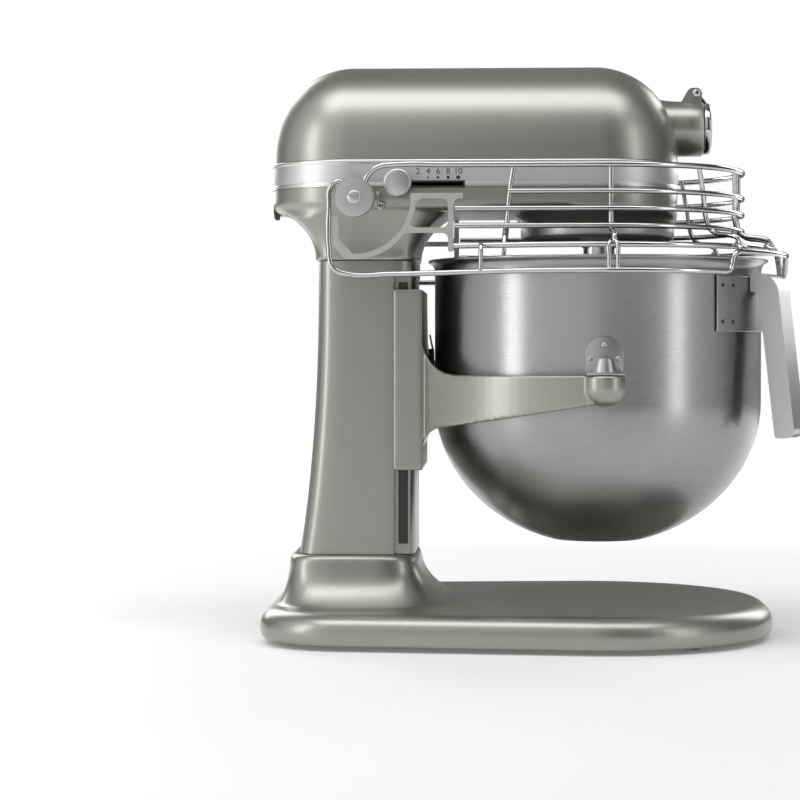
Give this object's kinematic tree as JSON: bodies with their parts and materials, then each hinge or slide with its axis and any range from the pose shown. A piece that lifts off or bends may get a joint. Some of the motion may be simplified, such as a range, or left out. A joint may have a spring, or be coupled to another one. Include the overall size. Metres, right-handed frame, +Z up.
{
  "type": "stand mixer",
  "caption": "Bowl-lift stand mixer: cast column and head, planetary drive with flat beater, lifting steel bowl with handle, and a hinged wire bowl guard.",
  "frame": {"origin": "on the floor under the bowl's axis, at the underside of the centre foot", "axes": "+X to the front of the mixer, +Y to the mixer's own left, +Z up"},
  "size_m": [0.3901, 0.293, 0.417],
  "materials": {
    "paint": "satin metallic enamel",
    "aluminium": "satin",
    "stainless": "brushed",
    "chrome": "polished",
    "steel": "machined",
    "bronze": "machined",
    "winding": "enamelled copper on laminations",
    "black_plastic": "fine moulded grain",
    "rubber": "matte",
    "board": "satin"
  },
  "bodies": {
    "stand": {"base": "paint", "base_cover": "steel", "foot_front_right": "rubber", "foot_front_left": "rubber", "foot_rear_right": "rubber", "foot_rear_left": "rubber", "centre_foot": "rubber", "column": "paint", "guide_rail_right": "steel", "guide_rail_left": "steel", "gear_housing": "paint", "motor_housing": "paint", "trim_band": "aluminium", "speed_slot_liner": "black_plastic", "mains_inlet": "black_plastic", "ring_gear": "steel", "centre_bearing": "chrome", "motor_stator": "steel", "gear_plate": "aluminium", "rear_bearing": "chrome", "speed_board": "board", "hub_sleeve": "chrome", "hub_cover_pin": "chrome", "guard_post_right": "stainless", "guard_post_left": "stainless", "guard_screw_right": "aluminium", "guard_screw_left": "aluminium"},
    "planetary": {"planetary_carrier": "aluminium", "centre_shaft": "steel", "crown_bevel_gear": "bronze"},
    "agitator": {"planet_pinion": "steel", "agitator_shaft": "steel", "flat_beater": "aluminium"},
    "countershaft": {"countershaft": "steel", "counter_gear": "bronze", "drive_bevel_gear": "bronze"},
    "motor_rotor": {"armature": "winding", "cooling_fan": "black_plastic"},
    "attachment_drive": {"hub_bevel_gear": "bronze", "hub_drive_socket": "steel"},
    "speed_control": {"speed_lever": "steel", "speed_knob": "aluminium"},
    "hub_door": {"hub_cover": "chrome"},
    "hub_screw": {"hub_thumb_screw": "black_plastic"},
    "yoke": {"lift_yoke": "paint", "lift_rod": "steel", "locating_pin_right": "chrome", "locating_pin_left": "chrome"},
    "bowl": {"bowl": "stainless", "bowl_handle": "stainless", "handle_plate": "stainless", "bowl_bracket_right": "stainless", "bowl_bracket_left": "stainless", "rear_latch_spring": "steel"},
    "lever": {"lever_shaft": "steel", "lift_lever": "aluminium", "lever_grip": "black_plastic"},
    "guard": {"guard_basket": "chrome", "guard_bracket_right": "aluminium", "guard_bracket_left": "aluminium"}
  },
  "joints": [
    {"name": "planetary_spin", "type": "hinge", "parent": "stand", "child": "planetary", "pos_m": [0, 0, 0.295], "axis": [0, 0, 1], "continuous": true},
    {"name": "agitator_spin", "type": "hinge", "parent": "planetary", "child": "agitator", "pos_m": [0, -0.033, 0.295], "axis": [0, 0, 1], "continuous": true},
    {"name": "countershaft_spin", "type": "hinge", "parent": "stand", "child": "countershaft", "pos_m": [-0.05, 0, 0.3724], "axis": [1, 0, 0], "continuous": true},
    {"name": "motor_spin", "type": "hinge", "parent": "stand", "child": "motor_rotor", "pos_m": [-0.15, 0, 0.3451], "axis": [1, 0, 0], "continuous": true},
    {"name": "attachment_spin", "type": "hinge", "parent": "stand", "child": "attachment_drive", "pos_m": [0.04, 0, 0.3724], "axis": [1, 0, 0], "continuous": true},
    {"name": "speed_slide", "type": "slide", "parent": "stand", "child": "speed_control", "axis": [1, 0, 0], "range_m": [0, 0.04]},
    {"name": "hub_door_swing", "type": "hinge", "parent": "stand", "child": "hub_door", "pos_m": [0.072, 0, 0.398], "axis": [0, -1, 0], "range_deg": [0, 110]},
    {"name": "hub_screw_turn", "type": "hinge", "parent": "stand", "child": "hub_screw", "pos_m": [0.066, 0.03, 0.3724], "axis": [0, 1, 0], "continuous": true},
    {"name": "bowl_lift", "type": "slide", "parent": "stand", "child": "yoke", "axis": [0, 0, -1], "range_m": [0, 0.048]},
    {"name": "lever_turn", "type": "hinge", "parent": "stand", "child": "lever", "pos_m": [-0.16, 0.06, 0.17], "axis": [0, -1, 0], "range_deg": [-0.1, 106.46]},
    {"name": "bowl_lift_off", "type": "slide", "parent": "yoke", "child": "bowl", "axis": [0, 0, 1], "range_m": [0, 0.007]},
    {"name": "guard_swing", "type": "hinge", "parent": "stand", "child": "guard", "pos_m": [-0.173, 0, 0.3157], "axis": [0, -1, 0], "range_deg": [0, 70]}
  ],
  "couplings": [
    {"joint": "agitator_spin", "follows": "planetary_spin", "ratio": -3.75},
    {"joint": "countershaft_spin", "follows": "planetary_spin", "ratio": -1},
    {"joint": "motor_spin", "follows": "planetary_spin", "ratio": 2.5},
    {"joint": "attachment_spin", "follows": "planetary_spin", "ratio": 1},
    {"joint": "lever_turn", "follows": "bowl_lift", "rad_per_m": 38.637}
  ]
}
